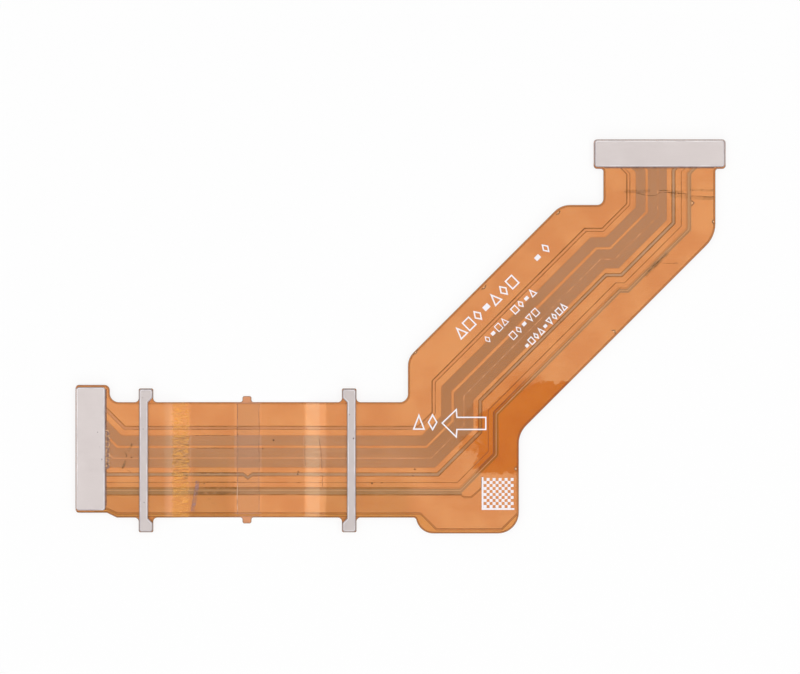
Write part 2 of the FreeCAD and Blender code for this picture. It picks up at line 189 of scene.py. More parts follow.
def paint(material, *names):
    """Gives CAD nodes a material."""
    for name in names:
        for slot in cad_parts[name].material_slots:
            slot.material = material
        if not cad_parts[name].material_slots:
            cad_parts[name].data.materials.append(material)
    print(material.name, "on", ", ".join(names))


print(len(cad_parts), "solids to paint")

# %% [markdown]
# ## Where the look changes along the cable
# Many looks belong to one part of the cable. An area is 1 there and 0 elsewhere, with soft
# borders, and is worked out from x and y. At the lower right the adhesive under the cover is a
# deeper orange. Its patch is three windows multiplied, with a stain and two tails, and a
# wandering noise is added to x and y first, so that its border is ragged.


# %% Areas and the orange patch
def area(tree, *parts):
    """The product of several parts. A part is an output or a number, or a ramp: an output, the
    place where it is 0 and the place where it is 1, or a window: an output, its low and high
    end and how soft they are. Places are in millimetres."""
    product = None
    for part in parts:
        if isinstance(part, tuple):
            value, low, high, *soft = part
            if soft:
                part = area(tree, (value, low - soft[0], low + soft[0]),
                            (value, high + soft[0], high - soft[0]))
            else:
                part = add(tree, "MapRange", {"Value": value, "From Min": low * MM,
                                              "From Max": high * MM},
                           interpolation_type="SMOOTHSTEP").outputs[0]
        if product is None:
            product = part
        else:
            product = add(tree, "Math", {0: product, 1: part}, operation="MULTIPLY").outputs[0]
    return product


def union(tree, first, *others):
    """Several areas together: the highest of them at each place."""
    for other in others:
        first = add(tree, "Math", {0: first, 1: other}, operation="MAXIMUM").outputs[0]
    return first


def ragged_place(tree, place, lump, reach_x, reach_y):
    """x and y with wandering noise added, in lumps and reaches of so many millimetres."""
    axes = add(tree, "SeparateXYZ", {0: place}).outputs
    wander = add(tree, "Math", {0: clouds(tree, place, lump, 6.0), 1: 0.5},
                 operation="SUBTRACT").outputs[0]
    return [add(tree, "Math", {0: wander, 1: reach * MM, 2: axis},
                operation="MULTIPLY_ADD").outputs[0]
            for axis, reach in zip(axes, (reach_x, reach_y))]


def orange_patch(tree, place):
    """The area where the adhesive under the cover film is orange."""
    x, y = ragged_place(tree, place, 0.6, 3.0, 1.3)
    slanted = add(tree, "Math", {0: y, 1: -1.85, 2: x}, operation="MULTIPLY_ADD").outputs[0]
    across = add(tree, "Math", {0: x, 1: y}, operation="SUBTRACT").outputs[0]
    patch = area(tree, (x, 8.3, 40, 0.35), (y, -15.05, -5.0, 0.12), (slanted, 24.3, 90, 0.3))
    stain = area(tree, (x, 6.6, 8.8, 0.3), (y, -12.6, -10.9, 0.25), 0.65)
    tails = [area(tree, (across, left, right, 0.25), (y, -9.0, top, 0.8), share)
             for left, right, top, share in ((15.5, 17.8, -3.8, 0.4), (17.5, 20.5, -4.8, 0.8))]
    return union(tree, patch, stain, *tails)


band_window = (-18.3, -15.3, 0.1)
print("the paler stretch at the centre band runs from", band_window[0], "to", band_window[1])

# %% [markdown]
# ## The film
# The base film is polyimide, the amber plastic of most flex cables. It shows between the
# traces, along the cable's edge and in the small tabs. Its ledge round the right plate is pale.

# %% Polyimide base film
polyimide, tree, place = new_material("polyimide base film", 0.0, 0.40)
x, y = add(tree, "SeparateXYZ", {0: place}).outputs[:2]
# Under the centre band the film is painted paler, as painted light that makes up for the light
# that the tape and the cover film take there.
tone = coat(tree, "E49652", (clouds(tree, place, 3.0), "F4A964"),
            (area(tree, (x, *band_window)), "F6BC94"), (area(tree, (y, 18.8, 19.2)), "E4DCDA"),
            (orange_patch(tree, place), "D87816"))
dress(polyimide, tone=tone, relief=clouds(tree, place, 0.6), depth=0.004)
paint(polyimide, "base_film")

# %% [markdown]
# The back cover film has the same plastic, glued over a ground plane, so from below the cable
# is a plain glossy amber.

# %% Back cover film
back_film, tree, place = new_material("polyimide back cover film", 0.0, 0.30)
dress(back_film, tone=coat(tree, "BC7536", (clouds(tree, place, 5.0), "CB8747")),
      relief=clouds(tree, place, 1.5), depth=0.006)
paint(back_film, "back_cover_film")

# %% [markdown]
# The front cover film lies over all the copper. It is thin and clear amber, so the material
# lets most of what is under it show. It is a little cloudy. Where the strip was bent, its slopes
# catch the lamps, and that shine is painted into its colour as highlights: golden and broken up
# into short dashes with darker painted flecks on the left slope, a pale painted highlight along
# its left border, and creamy on the right one. Along the lower half of the strip the film is
# deeper in colour, except about its middle, and most of all just right of the left slope.

# %% Areas of the front cover film
cover, tree, place = new_material("polyimide front cover film", 0.0, 0.24)
x, y = add(tree, "SeparateXYZ", {0: place}).outputs[:2]
ragged_x = ragged_place(tree, place, 0.35, 1.0, 0.0)[0]
beside_middle = union(tree, area(tree, (x, -36, -18.4, 0.8)), area(tree, (x, -9.0, 1.0, 1.2)))
lower_strip = area(tree, beside_middle, (y, -14.5, -17.5))
dusky_part = area(tree, (x, -22.8, -18.9, 0.4), (y, -9.5, -16.0))
# The areas where the slopes catch the lamps, painted as highlights.
gold_highlight_area = area(tree, (ragged_x, -25.1, -23.3, 0.1))
pale_highlight_share = area(tree, (x, -25.9, -25.0, 0.25))
cream_highlight_area = area(tree, (ragged_x, -10.60, -10.15), (x, -8.78, -9.02))
print("front cover film:", len(tree.nodes), "nodes so far")

# %% Front cover film
streak = {"size": 0.20, "detail": 1.0, "stretch": (5.0, 0.55, 1)}
dashes = clouds(tree, place, **streak, cut=(0.47, 0.60))
gold_highlight_dashes, cream_highlight_dashes = [
    add(tree, "Math", {0: dashes, 1: gain, 2: least}, operation="MULTIPLY_ADD").outputs[0]
    for gain, least in ((0.60, 0.32), (0.35, 0.65))]
# Shares of the painted highlights, golden and creamy, and of dark painted flecks in the golden
# one.
gold_highlight_share = area(tree, gold_highlight_area, gold_highlight_dashes)
cream_highlight_share = area(tree, cream_highlight_area, cream_highlight_dashes)
flecks = area(tree, gold_highlight_area, clouds(tree, place, **streak, cut=(0.38, 0.32)),
              (y, -15.8, -10.8, 0.4))
tone = coat(tree, "C4742A", (clouds(tree, place, 6.0), "CE8036"),
            (union(tree, lower_strip, dusky_part), "B46C04"),
            (orange_patch(tree, place), "BE5A0C"), (pale_highlight_share, "D8A070"),
            (gold_highlight_share, "FBB648"), (cream_highlight_share, "E8B886"), (flecks, "7A5C1C"))
alpha = 0.20
for share, gain in ((gold_highlight_share, 0.22), (cream_highlight_share, 0.05), (flecks, 0.20),
                    (lower_strip, 0.02), (dusky_part, 0.02)):
    alpha = add(tree, "Math", {0: share, 1: gain, 2: alpha}, operation="MULTIPLY_ADD").outputs[0]
dress(cover, tone=tone, alpha=alpha, relief=dashes, depth=0.0015)
paint(cover, "front_cover_film")

# %% [markdown]
# ## Copper
# Rolled copper foil, etched into pours and traces. Seen through amber film it is a warm
# orange. It stays a metal, so the slopes catch the lamps and turn golden.


# %% Copper under amber film
def copper(name, dark, light, roughness, arm_tone=None, dash=0.0, riser_tone=None,
           band_light_tone=None, line_tone=None):
    """Copper seen through the film. arm_tone is its colour on the arm, where that differs, and
    dash breaks that colour up into dashes of so many millimetres. riser_tone is its colour on
    the riser and the lower arm. band_light_tone is a paler colour under the band, painted light
    that makes up for the light the tape and the cover film take there. line_tone is the colour of
    hair-thin lines along the strip."""
    material, tree, place = new_material(name, 0.85, roughness)
    x, y = add(tree, "SeparateXYZ", {0: place}).outputs[:2]
    grain = clouds(tree, place, 0.25, stretch=(6, 1, 1))
    broad = area(tree, clouds(tree, place, 4.0, 3.0), 0.8)
    mixed = add(tree, "Math", {0: grain, 1: 0.2, 2: broad}, operation="MULTIPLY_ADD").outputs[0]
    share = add(tree, "MapRange", {"Value": mixed, "From Min": 0.35, "From Max": 0.65},
                interpolation_type="SMOOTHSTEP").outputs[0]
    tone = coat(tree, dark, (share, light))
    if arm_tone:
        on_arm = area(tree, (x, 1, 4))
        if dash:
            on_arm = area(tree, on_arm, clouds(tree, place, dash, 0.0, cut=(0.56, 0.50)))
        tone = coat(tree, tone, (on_arm, arm_tone))
    if riser_tone:
        on_riser = area(tree, (x, 1.0, 17.0, 3.0), (y, -14.0, 4.0, 3.0))
        tone = coat(tree, tone, (on_riser, riser_tone))
    if line_tone:
        hairs = clouds(tree, place, 0.10, 0.0, stretch=(70, 1, 1), cut=(0.56, 0.66))
        on_strip = area(tree, (x, -27, 0, 1.0), 0.5)
        beside_band = area(tree, (x, -20.3, -18.4, 0.3), 0.25)
        tone = coat(tree, tone, (union(tree, area(tree, hairs, on_strip), beside_band), line_tone))
    # Painted light: the copper is paler under the band.
    if band_light_tone:
        tone = coat(tree, tone, (area(tree, (x, *band_window)), band_light_tone))
    under_orange = add(tree, "Mix", {0: 1.0, 6: tone, 7: "ECC878"}, data_type="RGBA",
                       blend_type="MULTIPLY").outputs[2]
    tone = coat(tree, tone, (orange_patch(tree, place), under_orange))
    dress(material, tone=tone, relief=grain, depth=0.002)
    return material


pour_copper = copper("rolled copper pour under film", "F0A86E", "FBBA7C", 0.40,
                     band_light_tone="FFBC80")
paint(pour_copper, "upper_ground_pour", "lower_ground_pour", "power_rail_1", "power_rail_2",
      "power_rail_3", "power_rail_4", "power_rail_5")
guard_copper = copper("upper guard trace under film", "D49C72", "E4AA80", 0.40, "F2AC74")
paint(guard_copper, "guard_trace_upper")
trace_copper = copper("etched copper trace under film", "B59F83", "C6AF94", 0.42)
paint(trace_copper, "guard_trace_middle")
pair_copper = copper("etched copper pair under film", "AF9370", "C0A480", 0.42)
paint(pair_copper, "trace_pair", "guard_trace_lower")
divider_copper = copper("thin copper divider under film", "F0BE92", "FACEA6", 0.38,
                        "C8A488", 0.7)
paint(divider_copper, "divider_trace")
edge_copper = copper("copper edge line under film", "EEAC64", "FAB870", 0.40)
paint(edge_copper, "edge_ground")

# %% [markdown]
# ## Steel
# The plates and bars are stainless steel sheet, tumbled to a soft matt grey with a faint warm
# cast. Rolling left a fine grain along them, and here and there is a tiny dark pit.


# %% Stainless steel
def steel(name, dark, light, turn):
    """Tumbled steel sheet. turn is the angle of its grain."""
    material, tree, place = new_material(name, 1.0, 0.36)
    grain = {"size": 0.12, "stretch": (12, 1, 1), "turn": turn}
    pits = clouds(tree, place, 0.9, 0.0, cut=(0.80, 0.83))
    tone = coat(tree, dark, (clouds(tree, place, 5.0), light), (pits, "6E5F5C"))
    dress(material, tone=tone, relief=clouds(tree, place, **grain), depth=0.002,
          roughness=clouds(tree, place, **grain, cut=(0.3, 0.7), reach=(0.30, 0.44)))
    return material


plates = ("left_stiffener_plate", "right_stiffener_plate")
bars = ("left_bar", "right_bar")
paint(steel("tumbled stainless plate", "C5BBB9", "D0C8C6", 0.0), *plates)
paint(steel("tumbled stainless bar", "BCB3B1", "CAC1BF", math.pi / 2), *bars)

# %% [markdown]
# ## Clean shading on the solids
# The solids arrive as loose triangles with smoothed corners, so a flat film would look
# dented near each bend. Three modifiers mend that and leave the mesh alone: Weld joins the
# triangles, Edge Split parts them again at real edges, and Weighted Normal lets the large flat
# faces decide how each corner is shaded. The plates and bars get Weld alone.

# %% Weld, split and weigh
same_point = 0.0005 * MM
for name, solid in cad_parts.items():
    weld = solid.modifiers.new("join triangles", "WELD")
    weld.merge_threshold = same_point
    if name in plates + bars:
        continue
    part = solid.modifiers.new("part at edges", "EDGE_SPLIT")
    part.split_angle = math.radians(20)
    weigh = solid.modifiers.new("flat faces first", "WEIGHTED_NORMAL")
    weigh.mode = "FACE_AREA"
    weigh.weight = 100
print("modifiers on", len(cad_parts), "solids")

# %% [markdown]
# The stamped edges of real sheet steel are rolled over, not cut at one angle. A Bevel modifier
# rounds them.

# %% Rolled edges on the steel
for name in plates + bars:
    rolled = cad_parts[name].modifiers.new("rolled edge", "BEVEL")
    rolled.width = 0.022 * MM
    rolled.segments = 2
    rolled.limit_method = "ANGLE"
    rolled.angle_limit = math.radians(25)
    rolled.harden_normals = False
print("rolled edges on", len(plates + bars), "pieces")

# %% [markdown]
# ## The plugs
# Board-to-board plugs are moulded from liquid-crystal polymer, a stiff black plastic with
# glass in it. Their contacts are copper alloy with a thin gold plating, and their hold-downs are
# tinned steel.

# %% Moulding, gold and tin
moulding, tree, place = new_material("glass-filled black moulding", 0.0, 0.48)
glass = clouds(tree, place, 0.08, 1.0, cut=(0.55, 0.75))
dress(moulding, tone=coat(tree, "19181B", (glass, "2B2A2E")), relief=clouds(tree, place, 0.10),
      depth=0.004)
paint(moulding, "left_plug_housing", "right_plug_housing")
paint(mottled("gold-plated contact", 1.0, 0.26, 0.3, "DCB360", "E8C67E"), "left_contact_row_a",
      "left_contact_row_b", "right_contact_row_a", "right_contact_row_b")
paint(mottled("tinned hold-down", 1.0, 0.34, 0.2, "BCBDC1", "CFD0D3"), "left_hold_downs",
      "right_hold_downs")

# %% [markdown]
# ## The centre band
# A strip of thin clear tape over the film, a little pinker than what it covers.

# %% Band tape
band, tree, place = new_material("clear band tape", 0.0, 0.30)
dress(band, tone=coat(tree, "E0B4A6", (clouds(tree, place, 1.5), "F0CCC2")), alpha=0.02)
paint(band, "centre_band")

# %% [markdown]
# ## Single signal traces
# The CAD model has each bundle of signals as one ribbon. The real ribbon is ten traces of
# 0.05 mm with film between them. All copper here follows one route: along the strip, up the
# riser, along the arm and up the neck. A place across the cable is given twice, by how far it
# lies inside the upper edge on the strip and on the arm. The lines spread towards both plates,
# those far inside take a wider turn, and one dips under the centre band.

# %% Driving sizes of the route
strip_top, riser_left = -7.24, 0.81
arm_upper, shoulder, neck_left, neck_width = -3.19, 14.46, 22.31, 12.33
plate_right, plate_bottom = -32.47, 18.62
beside_plate, under_plate = 0.05, 1.2
left_spread_to, left_spread = 8.30, 0.38
neck_share, neck_turn, right_spread = 0.97, 0.86, 1.20
wide_turn_from, wide_turn = 8.5, 1.25
band_middle, dip_reach = -16.825, 0.5
dip_from, dip_to, dip_depth = 7.70, 8.25, 0.38
print("the neck is", neck_width, "mm wide")


# %% The route of a trace
def route(on_strip, on_arm):
    """The corners of one line along the cable, in millimetres."""
    on_neck = on_strip * neck_share
    turn_line = strip_top - riser_left - on_strip * math.sqrt(2)
    arm_line = arm_upper - on_arm * math.sqrt(2)
    neck_line = shoulder - neck_left - (on_neck - neck_turn) * math.sqrt(2)
    strip_y = strip_top - on_strip
    riser_x = riser_left + on_strip
    jog_y = shoulder - on_neck
    neck_x = neck_left + on_neck
    pad_y = strip_y + max(left_spread_to - on_strip, 0) * left_spread
    fan_x = plate_right + beside_plate
    middle = neck_left + neck_width / 2
    pad_x = middle + (neck_x - middle) * right_spread
    fan_y = plate_bottom - beside_plate
    if on_strip > wide_turn_from:
        turn_line -= wide_turn * math.sqrt(2)
    if neck_line < arm_line:
        jog_end = (jog_y - neck_line, jog_y)
    else:
        jog_end = (jog_y - arm_line, jog_y - arm_line + neck_line)
    dip = dip_depth if dip_from < on_strip < dip_to else 0
    return [
        (plate_right - under_plate, pad_y), (fan_x, pad_y),
        (fan_x + max(pad_y - strip_y, 0.02), strip_y), (band_middle - dip_reach, strip_y),
        (band_middle, strip_y - dip), (band_middle + dip_reach, strip_y),
        (strip_y - turn_line, strip_y), (riser_x, riser_x + turn_line),
        (riser_x, riser_x + arm_line), (jog_y - arm_line, jog_y), jog_end,
        (neck_x, neck_x + neck_line), (neck_x, fan_y - abs(pad_x - neck_x)), (pad_x, fan_y),
        (pad_x, plate_bottom + under_plate),
    ]


print("a route has", len(route(3.0, 4.0)), "corners")

# %% [markdown]
# Every operator acts on what is selected, so a piece is picked alone before it is worked on.


# %% Picking and editing a piece
def pick(obj):
    """Selects one piece alone and makes it the active one."""
    bpy.ops.object.select_all(action="DESELECT")
    obj.select_set(True)
    bpy.context.view_layer.objects.active = obj


def edit(obj):
    """Opens one piece in edit mode, with all of it selected."""
    pick(obj)
    bpy.ops.object.mode_set(mode="EDIT")
    bpy.ops.mesh.select_all(action="SELECT")


def apply_modifier(obj, kind, **settings):
    """Adds a modifier with its settings, and applies it at once."""
    modifier = obj.modifiers.new("step", kind)
    for key, value in settings.items():
        setattr(modifier, key, value)
    pick(obj)
    bpy.ops.object.modifier_apply(modifier=modifier.name)


def join(name, parts):
    """Makes one piece of several."""
    pick(parts[0])
    for part in parts:
        part.select_set(True)
    bpy.ops.object.join()
    parts[0].name = name
    return parts[0]


print("in", bpy.context.mode, "mode")

# %% [markdown]
# A flat strip is one plane whose end edge is extruded again and again, with its two end
# points moved to the next corner each time. That keeps it four-sided all along, which matters
# for the cuts that come after.


# %% Laying a flat strip
def select_only(mesh, chosen):
    """Selects only the chosen points."""
    for face in mesh.faces:
        face.select = False
    for edge in mesh.edges:
        edge.select = False
    for vert in mesh.verts:
        vert.select = vert in chosen
    mesh.select_flush(True)


def lay_strip(name, left, right):
    """A flat strip whose two long edges run through the given points, in metres."""
    bpy.ops.object.select_all(action="DESELECT")
    bpy.ops.mesh.primitive_plane_add(size=MM, location=(0, 0, 0))
    strip = bpy.context.object
    strip.name = name
    bpy.ops.object.mode_set(mode="EDIT")
    bpy.ops.mesh.select_mode(type="VERT")
    mesh = bmesh.from_edit_mesh(strip.data)
    mesh.verts.ensure_lookup_table()
    start = [mesh.verts[2], mesh.verts[0]]
    end = [mesh.verts[3], mesh.verts[1]]

    def move(pair, k):
        for vert, goal in zip(pair, (left[k], right[k])):
            select_only(mesh, [vert])
            bpy.ops.transform.translate(value=Vector(goal) - vert.co)

    move(start, 0)
    move(end, 1)
    for k in range(2, len(left)):
        select_only(mesh, end)
        old = [vert.co.copy() for vert in end]
        bpy.ops.mesh.extrude_edges_move()
        fresh = [vert for vert in mesh.verts if vert.select]
        end = [min(fresh, key=lambda vert: (vert.co - old[0]).length)]
        end += [vert for vert in fresh if vert not in end]
        move(end, k)
    bpy.ops.object.mode_set(mode="OBJECT")
    return strip


def ribbon(name, near, far, first=0):
    """A strip along the route between two places across the cable, from its first corner on."""
    sides = [[Vector((x, y, 0)) * MM for x, y in route(*place)[first:]] for place in (near, far)]
    return lay_strip(name, *sides)


# %% [markdown]
# A flat piece is cut across where the film bends, let down onto the film by a Shrinkwrap
# modifier, and given its thickness by a Solidify modifier. So it follows the slopes, and rests
# on what carries it.

# %% Settling a piece on the cable
slopes = ((-26.2, -22.2), (-11.4, -7.4))
slope_step = 0.2
print("the film bends at", slopes, "mm and is cut there every", slope_step, "mm")


def cut_at_slopes(obj):
    """Cuts a strip across, step by step, where the film bends."""
    edit(obj)
    for low, high in slopes:
        for k in range(int((high - low) / slope_step) + 1):
            bpy.ops.mesh.select_all(action="SELECT")
            bpy.ops.mesh.bisect(plane_co=((low + slope_step * k) * MM, 0, 0),
                                plane_no=(1, 0, 0))
    bpy.ops.object.mode_set(mode="OBJECT")


def lift(obj, height):
    """Moves a whole mesh up, by so many millimetres."""
    edit(obj)
    bpy.ops.transform.translate(value=(0, 0, height * MM))
    bpy.ops.object.mode_set(mode="OBJECT")


def drop_onto(obj, node, gap):
    """Lets a flat mesh down to gap millimetres over a CAD node, which must lie under all of it."""
    start, still_up = 3, 2.7
    lift(obj, start)
    apply_modifier(obj, "SHRINKWRAP", target=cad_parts[node], wrap_method="PROJECT",
                   use_project_x=False, use_project_y=False, use_project_z=True,
                   use_negative_direction=True, use_positive_direction=False,
                   offset=gap * MM)
    missed = [vert for vert in obj.data.vertices if vert.co.z > still_up * MM]
    assert not missed, f"{obj.name} overhangs {node} at {missed[0].co}"


def solidify(obj, height):
    """Makes a flat mesh so many millimetres thick, upwards."""
    apply_modifier(obj, "SOLIDIFY", thickness=height * MM, offset=1.0)


def finish_piece(obj, material):
    obj.data.materials.clear()
    obj.data.materials.append(material)
    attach(obj, "root")
    print(obj.name, len(obj.data.polygons), "faces")


def settle(obj, node, gap, height, material):
    """Lays a flat mesh on a CAD node, makes it thick and finishes it."""
    drop_onto(obj, node, gap)
    solidify(obj, height)
    finish_piece(obj, material)


# %% [markdown]
# A bundle's width is shared out among its ten traces and the gaps between them, all equal.
# Ten ribbons make one piece, which stands in for the bundle's solid.

# %% Ten traces in each bundle
bundles = {
    "signal_bundle_1": (3.70, 4.76, 4.86, 5.94),
    "signal_bundle_2": (5.07, 6.06, 6.31, 7.22),
    "signal_bundle_3": (6.26, 7.17, 7.39, 8.35),
}
traces_in_bundle = 10
lane_count = 2 * traces_in_bundle - 1
copper_height = 0.03
signal_copper = copper("fine etched traces under film", "B6A28A", "C2AE98", 0.42, "B2A492",
                       riser_tone="A2907A", line_tone="D8BE98")
for node, (strip_near, strip_far, arm_near, arm_far) in bundles.items():
    lanes = []
    for k in range(0, lane_count, 2):
        sides = [(strip_near + (strip_far - strip_near) * share,
                  arm_near + (arm_far - arm_near) * share)
                 for share in (k / lane_count, (k + 1) / lane_count)]
        lanes.append(ribbon("lane", *sides))
    traces = join(f"{node}_traces", lanes)
    cut_at_slopes(traces)
    settle(traces, "base_film", 0.0, copper_height, signal_copper)
    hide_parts(node)

# %% [markdown]
# ## Painted shade in the grooves
# Between two pieces of copper the cover film sinks a little, and the shade in that groove is
# painted as a thin dark line beside each trace. It laps over the copper's edges by a hair. The
# painted shade is darkest on the arm and right of the left slope. In the wide groove above the
# lower guard trace it is lighter, and in the narrow one below that trace a pale line is painted
# as a highlight, because the film lies flat on it.

# %% Painted shade in the grooves
groove_shade, tree, place = new_material("painted shade in a groove", 0.0, 0.45)
x = add(tree, "SeparateXYZ", {0: place}).outputs[0]
# thin is the lighter painted shade, thick the deeper one.
thin = coat(tree, "A06C3A", (clouds(tree, place, 1.8, 3.0, cut=(0.36, 0.62)), "C8905A"))
thick = coat(tree, "6E4418", (clouds(tree, place, 1.0, 3.0, cut=(0.36, 0.62)), "A46E38"))
dark_part = union(tree, area(tree, (x, -22.7, -19.0, 0.5)), area(tree, (x, 0.0, 4)))
dress(groove_shade, tone=coat(tree, thin, (dark_part, thick), (orange_patch(tree, place), "8C4E18")))
soft_groove_shade, tree, place = new_material("lighter painted shade in a groove", 0.0, 0.45)
x = add(tree, "SeparateXYZ", {0: place}).outputs[0]
dress(soft_groove_shade, tone=coat(tree, "AA7440", (clouds(tree, place, 1.2), "C48E56"),
                           (area(tree, (x, 0.0, 3)), "DC9A60"),
                           (orange_patch(tree, place), "9A5A20")))
# A pale line painted as a highlight, for the narrow groove below the lower guard trace.
groove_highlight = mottled("painted highlight in a groove", 0.0, 0.45, 1.2, "DCA878", "F6CCA0")
print("3 kinds of painted groove shade and highlight")

# %% Lines of painted shade and highlight in the grooves
grooves = {
    "groove_shade_lines": (groove_shade, [
        (2.66, 2.72, 3.65, 3.71), (2.98, 3.04, 3.99, 4.05), (7.73, 7.82, 8.75, 8.83),
        (8.09, 8.18, 9.09, 9.17), (8.81, 8.87, 10.29, 10.35), (10.14, 10.20, 11.60, 11.66),
    ]),
    "soft_groove_shade_lines": (soft_groove_shade, [(9.35, 9.53, 10.82, 10.93)]),
    "groove_highlight_lines": (groove_highlight, [(9.68, 9.73, 11.21, 11.26)]),
}
lap_strip, lap_arm = 0.008, 0.018
groove_shade_height = 0.031
for name, (material, places) in grooves.items():
    lines = [ribbon("line", (strip_near - lap_strip, arm_near - lap_arm),
                    (strip_far + lap_strip, arm_far + lap_arm))
             for strip_near, strip_far, arm_near, arm_far in places]
    filled = join(name, lines)
    cut_at_slopes(filled)
    settle(filled, "base_film", 0.0, groove_shade_height, material)

# %% [markdown]
# From the riser on, the lower pour reaches a little further in, over the trace pair, than the
# solids have it. A strip of the same copper widens it there.

# %% Border of the lower pour
corner_at_turn = 6
border_height = 0.0315
pour_border = ribbon("pour_border", (9.97, 11.47), (10.30, 11.76), corner_at_turn)
settle(pour_border, "base_film", 0.0, border_height, pour_copper)

# %% [markdown]
# ## Edges
# The rim of each copper piece is painted dark, as painted shade where the cover film steps down
# over it. The film was cut by a laser, which leaves its edge a scorched brown, and near the
# plates that edge is painted darker and greyer, as painted shade. Both rims are made the same
# way: a copy of the solid's upper faces is inset, and only the narrow border is kept.


# %% Rims
def rim(node, width, height, skip=0.0, level=0.5):
    """A narrow border on a CAD node's upper side. width is its width, skip how far inside the
    edge it starts and height how far it stands proud, all in millimetres. The upper side is
    made of the faces whose normals rise by at least level."""
    border = bpy.data.objects.new("rim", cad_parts[node].data.copy())
    bpy.context.scene.collection.objects.link(border)
    edit(border)
    bpy.ops.mesh.customdata_custom_splitnormals_clear()
    bpy.ops.mesh.remove_doubles(threshold=same_point)
    bpy.ops.mesh.select_mode(type="FACE")
    for face in bmesh.from_edit_mesh(border.data).faces:
        face.select_set(face.normal.z < level)
    bpy.ops.mesh.delete(type="FACE")
    bpy.ops.mesh.select_all(action="SELECT")
    bpy.ops.mesh.dissolve_limited(angle_limit=math.radians(1))
    bpy.ops.mesh.select_all(action="SELECT")
    if skip:
        bpy.ops.mesh.inset(thickness=skip * MM, depth=0, use_even_offset=True)
        bpy.ops.mesh.select_all(action="INVERT")
        bpy.ops.mesh.delete(type="FACE")
        bpy.ops.mesh.select_all(action="SELECT")
    bpy.ops.mesh.inset(thickness=width * MM, depth=0, use_even_offset=True)
    bpy.ops.mesh.delete(type="FACE")
    bpy.ops.object.mode_set(mode="OBJECT")
    lift(border, height)
    return border


def at_ends(tree, place, left_ramp, right_ramp):
    """The left plate's end of the cable, by a ramp in x, and the right plate's, by one in y."""
    x, y = add(tree, "SeparateXYZ", {0: place}).outputs[:2]
    return union(tree, area(tree, (x, *left_ramp)), area(tree, (y, *right_ramp)))


# %% Painted shade on the copper rims
copper_rim_shade, tree, place = new_material("painted shade on an etched copper rim", 0.0, 0.5)
x, y = add(tree, "SeparateXYZ", {0: place}).outputs[:2]
strip_upper = area(tree, (x, 1, -1), (y, -12, -10))
strip_lower = area(tree, (x, 1, -1), (y, -16, -18))
dark_share = union(tree, area(tree, (x, -34, -18, 0.8)), area(tree, (x, -9.5, -5.0, 0.8)))
ochre = coat(tree, "A06E30", (clouds(tree, place, 2.5, cut=(0.4, 0.6)), "C8945A"),
             (dark_share, "6E4608"))
dress(copper_rim_shade, tone=coat(tree, "64401E", (clouds(tree, place, 1.6, cut=(0.4, 0.6)), "8C5C2E"),
                      (strip_upper, "B4783E"), (strip_lower, ochre)))
rim_width, rim_height = 0.06, 0.001
copper_rim_pieces = [rim(node, rim_width, rim_height)
               for node in ("upper_ground_pour", "lower_ground_pour", "edge_ground")]
finish_piece(join("shaded_copper_rims", copper_rim_pieces), copper_rim_shade)

# %% Scorched and shaded edge of the film
scorch_and_shade, tree, place = new_material("laser-cut film edge", 0.0, 0.5)
# Near the plates the edge is painted darker and greyer, as painted shade, and on the outer sides
# paler.
on_pads = at_ends(tree, place, (-32.2, -32.9), (18.0, 18.5))
outer_sides = at_ends(tree, place, (-35.60, -35.66), (18.6, 19.2))
dress(scorch_and_shade, tone=coat(tree, "7E6046", (clouds(tree, place, 0.6), "9C7A5C"),
                       (on_pads, "8A7A72"), (outer_sides, "C8BCB8")))
scorched_shaded_edge = rim("front_cover_film", rim_width, rim_height / 2)
scorched_shaded_edge.name = "scorched_and_shaded_edge"
finish_piece(scorched_shaded_edge, scorch_and_shade)

# %% [markdown]
# Stamped sheet has its edges rolled over, and two rims are painted on them as seen from above:
# a dark one, painted shade where the rounded edge faces the greyer sky, and inside it a bright
# one, a painted highlight. On the outer sides of both plates the dark one is painted bright too,
# as a highlight. A little emission adds to the painted glint of the lamps.

# %% Painted shade and highlight rims on the steel
steel_top, steel_rim_height = 0.99, 0.0006
steel_edge_shade, tree, place = new_material("painted shade on a steel edge", 0.6, 0.45)
# The outer sides of both plates get the bright tone: painted highlight.
outer_sides = at_ends(tree, place, (-35.54, -35.60), (21.44, 21.50))
dress(steel_edge_shade, tone=coat(tree, "7A7074", (clouds(tree, place, 0.5), "968C90"),
                       (outer_sides, "DCD4D0")))
shaded_steel_rims = join("shaded_steel_rims", [rim(node, 0.05, steel_rim_height, 0.01, steel_top)
                                   for node in plates + bars])
finish_piece(shaded_steel_rims, steel_edge_shade)
steel_rim_highlight, tree, place = new_material("painted highlight on a steel rim", 0.3, 0.30)
dress(steel_rim_highlight, tone=coat(tree, "CCC4C4", (clouds(tree, place, 1.6, cut=(0.38, 0.60)), "E2DCDC")),
      glow=clouds(tree, place, 2.2, cut=(0.40, 0.62), reach=(0.00, 0.07)))
highlighted_steel_rims = join("highlighted_steel_rims", [rim(node, 0.08, steel_rim_height, 0.06, steel_top)
                                       for node in plates + bars])
finish_piece(highlighted_steel_rims, steel_rim_highlight)

# %% [markdown]
# ## Drawn strokes
# Ink, creases and tape edges are all strokes: a line with a width. The stroke's two sides are
# worked out from its middle line, with mitred corners, and laid with the same flat strip.


